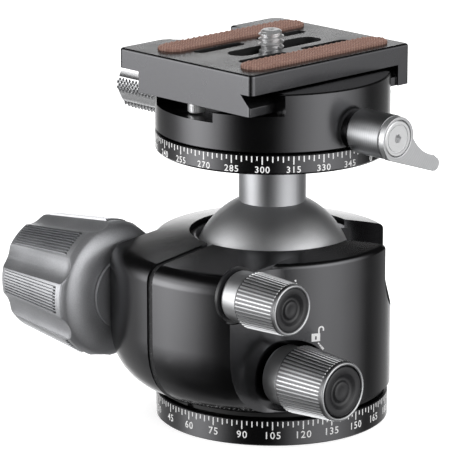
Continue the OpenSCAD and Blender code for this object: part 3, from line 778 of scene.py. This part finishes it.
# The clamp's knob: plain grooves between six bands of diamonds.
def makeClampKnob(size):
    knob = turnPiece("knurledKnob", size["shape"], size["around"])
    pitch = 2 * math.pi / size["bands"]
    groove, grain = size["groove"], size["diamond"]
    clearSelection()
    bpy.ops.mesh.primitive_cylinder_add(vertices=48, radius=groove["r"] * mm, depth=groove["long"] * mm)
    cutter = bpy.context.object
    cutter.location = ((size["r"] + groove["out"]) * mm, 0, groove["z"] * mm)
    applyPlace(cutter)
    cutAway(knob, copyAround(cutter, evenTurns(size["bands"])))
    smoothByAngle(knob, 30)

    # one diamond, copied in rows over each band between the grooves
    clearSelection()
    bpy.ops.mesh.primitive_cone_add(vertices=4, radius1=grain["r"] * mm, radius2=grain["tip"] * mm,
                                    depth=grain["high"] * mm)
    diamond = bpy.context.object
    diamond.rotation_euler = (0, math.pi / 2, 0)
    diamond.location = ((size["r"] - grain["sink"]) * mm, 0, 0)
    applyPlace(diamond)
    column = []
    rowStep = (size["end"] - grain["start"] - grain["stop"]) / grain["rows"]
    for row in range(grain["rows"]):
        other = copyPiece(diamond, "diamond")
        other.location = (0, 0, (grain["start"] + rowStep * (row + grain["first"])) * mm)
        applyPlace(other)
        column.append(other)
    bpy.data.objects.remove(diamond)
    strip = joinInto(column[0], column[1:])
    second = copyPiece(strip, "diamondOffset")
    second.location = (0, 0, rowStep / 2 * mm)
    applyPlace(second)
    step = math.radians(grain["spread"]) / grain["columns"]
    places = [(i - (grain["columns"] - 1) / 2) * step for i in range(grain["columns"])]
    even = [pitch * (band + 0.5) + place for band in range(size["bands"]) for place in places[::2]]
    odd = [pitch * (band + 0.5) + place for band in range(size["bands"]) for place in places[1::2]]
    knob = joinInto(knob, [copyAround(strip, even), copyAround(second, odd)])
    layAlongX(knob, -1, size["y"], size["z"])
    return knob


standFor(makeClampKnob(clampKnobSize), paint["brightChrome"], "chromed_knob", "clamp_knob")
print("clamp knob done")


cameraScrewSize = {"x": -0.6, "y": 0, "around": 64,
                   "shape": [(1.0, 84), (5.8, 84), (6.2, 84.4), (6.2, 86.8), (3.0, 86.8), (3.0, 92.7),
                             (2.55, 93.1), (2.55, 97.6), (2.05, 98), (0.9, 98), (0.9, 96.8), (0.1, 96.8)],
                   "thread": {"inner": 2.4, "outer": 3.175, "foot": 0.46, "crest": 0.09, "start": 93.5,
                              "pitch": 1.27, "turns": 3}}


# The camera screw: a head under the plate, and real turns of thread above it.
def makeCameraScrew(size):
    screw = turnPiece("cameraScrew", size["shape"], size["around"])
    smoothByAngle(screw, 30)

    # one tooth of the thread, swept up the core
    thread = size["thread"]
    clearSelection()
    bpy.ops.mesh.primitive_plane_add(size=1)
    tooth = bpy.context.object
    inner, outer, crest = thread["inner"], thread["outer"], thread["crest"]
    foot = thread["pitch"] * thread["foot"]
    corners = ((inner, -foot), (outer, -crest), (outer, crest), (inner, foot))
    for vertex, (r, z) in zip(sorted(tooth.data.vertices, key=lambda v: math.atan2(v.co.y, v.co.x)), corners):
        vertex.co = (r * mm, 0, (thread["start"] + z) * mm)
    addModifier(tooth, "SCREW", angle=2 * math.pi, screw_offset=thread["pitch"] * mm,
                iterations=thread["turns"], steps=48, render_steps=48, axis="Z", use_merge_vertices=True)
    faceOutward(tooth)
    smoothByAngle(tooth, 40)
    screw = joinInto(screw, [tooth])
    screw.location = (size["x"] * mm, size["y"] * mm, 0)
    applyPlace(screw)
    return screw


standFor(makeCameraScrew(cameraScrewSize), paint["screwSilver"], "bright_screw", "camera_screw")
print("camera screw done")


stopSize = {"x": -2.6, "y": 23.6, "around": 48,
            "shape": [(0.4, 80.6), (1.8, 80.6), (1.96, 80.8), (1.96, 83.1), (1.8, 83.3), (1.0, 83.3),
                      (1.0, 90.9), (0.1, 90.9)],
            "rib": {"r": 1.96, "start": 80.9, "stop": 82.4, "width": 0.34, "high": 0.12, "count": 24}}


# Two knurled stop screws, one near each end of the plate.
def makeStops(size):
    head = turnPiece("stopScrews", size["shape"], size["around"])
    smoothByAngle(head, 30)
    rib = size["rib"]
    ribs = copyAround(ribAlong(rib["r"], rib["r"], rib["start"], rib["stop"], rib["width"], rib["high"]),
                      evenTurns(rib["count"]))
    head = joinInto(head, [ribs])
    other = copyPiece(head, "otherStop")
    head.location = (size["x"] * mm, -size["y"] * mm, 0)
    other.location = (size["x"] * mm, size["y"] * mm, 0)
    applyPlace(head)
    applyPlace(other)
    return joinInto(head, [other])


standFor(makeStops(stopSize), paint["knurlSilver"], "bright_screw", "stop_screws")
print("stop screws done")


scales = {
    "baseScale": {"body": "base", "r": 29.1, "top": 6.2, "zero": -149.52, "long": 2.1, "middle": 1.5,
                  "short": 1.05, "digit": 1.85, "gap": 0.4},
    "upperScale": {"body": "ball_neck", "r": 29.1, "top": 72.9, "zero": -349.86, "long": 2.0, "middle": 1.45,
                   "short": 1.0, "digit": 1.62, "gap": 0.38},
}
# What both scales share: the steps of all, middle and long ticks in degrees, and sizes in millimetres.
scaleShape = {"step": 2.5, "middleStep": 5, "longStep": 15, "tickW": 0.29, "thick": 0.06, "bold": 0.02,
              "textShare": 1.38, "spacing": 1.16}


# Bends a flat drawing round the Z axis. Its x goes round, its y goes up.
def wrapOnto(piece, r, turn, z):
    for vertex in piece.data.vertices:
        x, y, out = vertex.co
        angle = turn + x / (r * mm)
        reach = r * mm + out
        vertex.co = (reach * math.cos(angle), reach * math.sin(angle), y + z * mm)


def makeTick(length, size, shape, turn):
    clearSelection()
    bpy.ops.mesh.primitive_cube_add(size=1)
    tick = bpy.context.object
    tick.scale = (shape["tickW"] * mm, length * mm, shape["thick"] * mm)
    applyPlace(tick)
    wrapOnto(tick, size["r"], turn, size["top"] - length / 2)
    return tick


def makeNumber(text, size, shape, turn):
    clearSelection()
    bpy.ops.object.text_add()
    number = bpy.context.object
    number.data.body = text
    number.data.size = size["digit"] * shape["textShare"] * mm
    number.data.extrude = shape["thick"] / 2 * mm
    number.data.offset = shape["bold"] * mm
    number.data.space_character = shape["spacing"]
    number.data.resolution_u = 3
    number.data.align_x = "CENTER"
    bpy.ops.object.convert(target="MESH")
    number = bpy.context.object
    wrapOnto(number, size["r"], turn, size["top"] - size["long"] - size["gap"] - size["digit"])
    return number


# A full circle of ticks, with a number at each long one.
def makeScale(name, size, shape):
    marks = []
    for index in range(int(360 / shape["step"])):
        value = index * shape["step"]
        isLong, isMiddle = value % shape["longStep"] == 0, value % shape["middleStep"] == 0
        length = size["long"] if isLong else size["middle"] if isMiddle else size["short"]
        turn = math.radians(value + size["zero"])
        marks.append(makeTick(length, size, shape, turn))
        if isLong:
            marks.append(makeNumber(str(int(value)), size, shape, turn))
    scale = joinInto(marks[0], marks[1:])
    scale.name = name
    return scale


for name, size in scales.items():
    scale = makeScale(name, size, scaleShape)
    giveMaterial(scale, paint["whitePrint"])
    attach(scale, size["body"])
print("scales printed")


# Printed on the round body: an open padlock, an arrow of dashes and two dots. Each bar has its x, z, width,
# height and lean.
markSize = {"r": 29.7, "turn": -23.9, "z": 26.4, "thick": 0.05,
            "bars": [(-0.66, 1.0, 0.9, 2.0, 0), (0.66, 1.0, 0.9, 2.0, 0), (0, 1.66, 0.6, 0.68, 0),
                     (0, 0.22, 0.6, 0.44, 0), (0.78, 2.5, 0.36, 1.1, 0), (1.98, 2.75, 0.36, 0.5, 0),
                     (0.75, -0.6, 0.34, 0.5, 42), (1.2, -1.2, 0.4, 0.7, 42), (1.75, -1.9, 0.5, 0.9, 42),
                     (-5.25, 15.7, 0.4, 0.5, 25), (-5.0, 14.75, 0.46, 0.7, 25)],
            "shackle": {"x": 1.38, "z": 2.95, "r": 0.6, "stroke": 0.18, "cut": -0.1}}


def makeMarks(size):
    marks = []
    for x, z, width, height, lean in size["bars"]:
        clearSelection()
        bpy.ops.mesh.primitive_cube_add(size=1)
        bar = bpy.context.object
        bar.scale = (width * mm, height * mm, size["thick"] * mm)
        bar.rotation_euler = (0, 0, math.radians(lean))
        bar.location = (x * mm, z * mm, 0)
        applyPlace(bar)
        marks.append(bar)
    hoop = size["shackle"]
    clearSelection()
    bpy.ops.mesh.primitive_torus_add(major_radius=hoop["r"] * mm, minor_radius=hoop["stroke"] * mm,
                                     major_segments=40, minor_segments=8)
    shackle = bpy.context.object
    editMode()
    bpy.ops.mesh.bisect(plane_co=(0, hoop["cut"] * mm, 0), plane_no=(0, 1, 0), clear_inner=True,
                        use_fill=True)
    objectMode()
    shackle.scale = (1, 1, size["thick"] / 2 / hoop["stroke"])
    shackle.location = (hoop["x"] * mm, hoop["z"] * mm, 0)
    applyPlace(shackle)
    marks = joinInto(shackle, marks)
    marks.name = "bodyMarks"
    wrapOnto(marks, size["r"], math.radians(size["turn"]), size["z"])
    return marks


bodyMarks = makeMarks(markSize)
giveMaterial(bodyMarks, paint["whitePrint"])
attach(bodyMarks, "body")
print("body marks printed")


# The camera's turn round the part, its place in millimetres, its aim in degrees and its lens.
view = {"turn": 45, "away": 858.1, "height": 275.7, "down": 14.86, "left": 0.77, "lens": 283.75, "sensor": 36,
        "nearest": 10}


def makeCamera(view):
    turn = math.radians(view["turn"])
    place = Vector((math.sin(turn), -math.cos(turn), 0)) * view["away"] * mm
    place.z = view["height"] * mm
    left, down = math.radians(view["left"]), math.radians(view["down"])
    inward = Vector((-math.sin(turn), math.cos(turn), 0))
    right = Vector((math.cos(turn), math.sin(turn), 0))
    level = inward * math.cos(left) - right * math.sin(left)
    forward = level * math.cos(down) - Vector((0, 0, 1)) * math.sin(down)
    side = forward.cross(Vector((0, 0, 1))).normalized()
    up = side.cross(forward)
    data = bpy.data.cameras.new("camera")
    data.lens = view["lens"]
    data.sensor_width = view["sensor"]
    data.clip_start = view["nearest"] * mm
    camera = bpy.data.objects.new("camera", data)
    bpy.context.scene.collection.objects.link(camera)
    camera.matrix_world = Matrix.Translation(place) @ Matrix((side, up, -forward)).transposed().to_4x4()
    bpy.context.scene.camera = camera


makeCamera(view)
print("camera placed")


# Soft light banks that the metal reflects. Turn is counted from the camera's side and rise from the horizon,
# both in degrees, each with its share of the bank's glow.
lightBanks = {
    "leftBank": {"glow": 4.4,
                 "turn": {-125: 0, -112: 0.06, -103: 0.28, -95: 0.6, -88: 0.85, -78: 1, -67: 0.85, -57: 0.58,
                          -47: 0.22, -38: 0.03, -28: 0},
                 "rise": {-55: 0.01, -35: 0.04, -27: 0.1, -22: 0.26, -17: 0.42, -12: 0.7, -7: 1, 10: 0.95,
                          16: 0.7, 22: 0.5, 30: 0.44, 38: 0.22, 46: 0.05, 56: 0}},
    "rightBank": {"glow": 2.7,
                  "turn": {0: 0, 10: 0.1, 20: 0.45, 32: 0.72, 45: 0.95, 55: 1, 68: 0.9, 80: 0.66, 91: 0.46,
                           98: 0.2, 106: 0.04, 114: 0},
                  "rise": {-50: 0.03, -35: 0.1, -27: 0.22, -17: 0.48, -8: 0.75, 10: 0.95, 24: 1, 34: 0.7,
                           44: 0.25, 54: 0}},
    "backCard": {"glow": 2.0,
                 "turn": {-180: 1, -168: 0.85, -158: 0.3, -148: 0, 148: 0, 158: 0.3, 168: 0.85, 180: 1},
                 "rise": {-40: 0.1, -20: 0.6, -5: 1, 8: 1, 11: 0.55, 14: 0.15, 17: 0.03, 24: 0}},
    "backFloor": {"glow": 0.55,
                  "turn": {-180: 1, -120: 0.8, -100: 0.3, -85: 0, 100: 0, 125: 0.5, 145: 1, 180: 1},
                  "rise": {-60: 0.5, -45: 0.8, -30: 1, -16: 0.9, -9: 0.1, -4: 0}},
}
# The floor, the world and the lamps, with places and sizes in metres.
studio = {
    "floorSize": 6.0, "floorTone": 0.74, "floorGloss": 0.9, "floorGlow": 0.62, "worldLight": 0.9,
    "fill": 0.022, "aim": 0.05,
    "lamps": {"leftLamp": {"turn": -68, "away": 0.9, "height": 0.45, "width": 0.7, "tall": 0.9, "glow": 2.2},
              "rightLamp": {"turn": 52, "away": 0.9, "height": 0.4, "width": 0.55, "tall": 0.8, "glow": 1.6},
              "topLamp": {"turn": 170, "away": 0.35, "height": 1.1, "width": 0.8, "tall": 0.8, "glow": 1.8}},
}


# The pale floor, which only the camera sees brightened to white.
def makeFloor():
    clearSelection()
    bpy.ops.mesh.primitive_plane_add(size=studio["floorSize"], location=(0, 0, 0))
    floor = bpy.context.object
    floor.name = "studioFloor"
    floor.visible_glossy = False
    tone = (studio["floorTone"],) * 3 + (1,)
    material, tree, shader = startMaterial("studioFloor", Base_Color=tone, Roughness=studio["floorGloss"],
                                           Specular_IOR_Level=0.0, Emission_Color=(1, 1, 1, 1))
    path = tree.nodes.new("ShaderNodeLightPath")
    seen = addMath(tree, "MULTIPLY", path.outputs["Is Camera Ray"], studio["floorGlow"])
    link(tree, seen, shader.inputs["Emission Strength"])
    floor.data.materials.append(material)


# A smooth run of shares over a span of degrees.
def shareRamp(tree, degrees, low, high, shares):
    ramp = tree.nodes.new("ShaderNodeValToRGB")
    ramp.color_ramp.interpolation = "EASE"
    stops = ramp.color_ramp.elements
    stops.remove(stops[-1])
    for index, (turn, share) in enumerate(shares.items()):
        place = (turn - low) / (high - low)
        stop = stops[0] if index == 0 else stops.new(place)
        stop.position = place
        stop.color = (share, share, share, 1)
    link(tree, mapRange(tree, degrees, low, high, 0.0, 1.0), ramp.inputs["Fac"])
    return ramp.outputs["Color"]


# A white world: plain light for matt surfaces, the banks for glossy ones.
def makeWorld():
    world = bpy.data.worlds.new("studio")
    bpy.context.scene.world = world
    world.use_nodes = True
    tree = world.node_tree
    background = tree.nodes["Background"]
    background.inputs["Color"].default_value = (1, 1, 1, 1)
    path = tree.nodes.new("ShaderNodeLightPath")
    place = tree.nodes.new("ShaderNodeTexCoord")
    parts = tree.nodes.new("ShaderNodeSeparateXYZ")
    link(tree, place.outputs["Generated"], parts.inputs[0])
    turn = addMath(tree, "ARCTAN2", parts.outputs["Y"], parts.outputs["X"])
    turn = addMath(tree, "SUBTRACT", turn, math.radians(view["turn"] - 90))
    turn = addMath(tree, "DEGREES", addMath(tree, "WRAP", turn, math.pi, -math.pi))
    rise = addMath(tree, "DEGREES", addMath(tree, "ARCSINE", parts.outputs["Z"]))
    glossy = studio["fill"]
    for bank in lightBanks.values():
        across = addMath(tree, "MULTIPLY", shareRamp(tree, turn, -180, 180, bank["turn"]), bank["glow"])
        glow = addMath(tree, "MULTIPLY", across, shareRamp(tree, rise, -90, 90, bank["rise"]))
        glossy = addMath(tree, "ADD", glow, glossy)
    plain = mapRange(tree, path.outputs["Is Camera Ray"], 0, 1, studio["worldLight"], 1.0)
    plain = addMath(tree, "MULTIPLY", plain, addMath(tree, "SUBTRACT", 1.0, path.outputs["Is Glossy Ray"]))
    glossy = addMath(tree, "MULTIPLY", glossy, path.outputs["Is Glossy Ray"])
    link(tree, addMath(tree, "ADD", plain, glossy), background.inputs["Strength"])


# A soft lamp that faces the object. Its turn is counted from the camera's side.
def makeLamp(name, lamp):
    turn = math.radians(view["turn"] + lamp["turn"])
    place = Vector((math.sin(turn) * lamp["away"], -math.cos(turn) * lamp["away"], lamp["height"]))
    data = bpy.data.lights.new(name, "AREA")
    data.shape = "RECTANGLE"
    data.size = lamp["width"]
    data.size_y = lamp["tall"]
    data.energy = lamp["glow"] * math.pi * lamp["width"] * lamp["tall"]
    light = bpy.data.objects.new(name, data)
    bpy.context.scene.collection.objects.link(light)
    light.visible_glossy = False
    light.location = place
    light.rotation_euler = (Vector((0, 0, studio["aim"])) - place).to_track_quat("-Z", "Y").to_euler()


makeFloor()
makeWorld()
for name, lamp in studio["lamps"].items():
    makeLamp(name, lamp)
bpy.context.scene.view_settings.view_transform = "Standard"
print("studio lit")
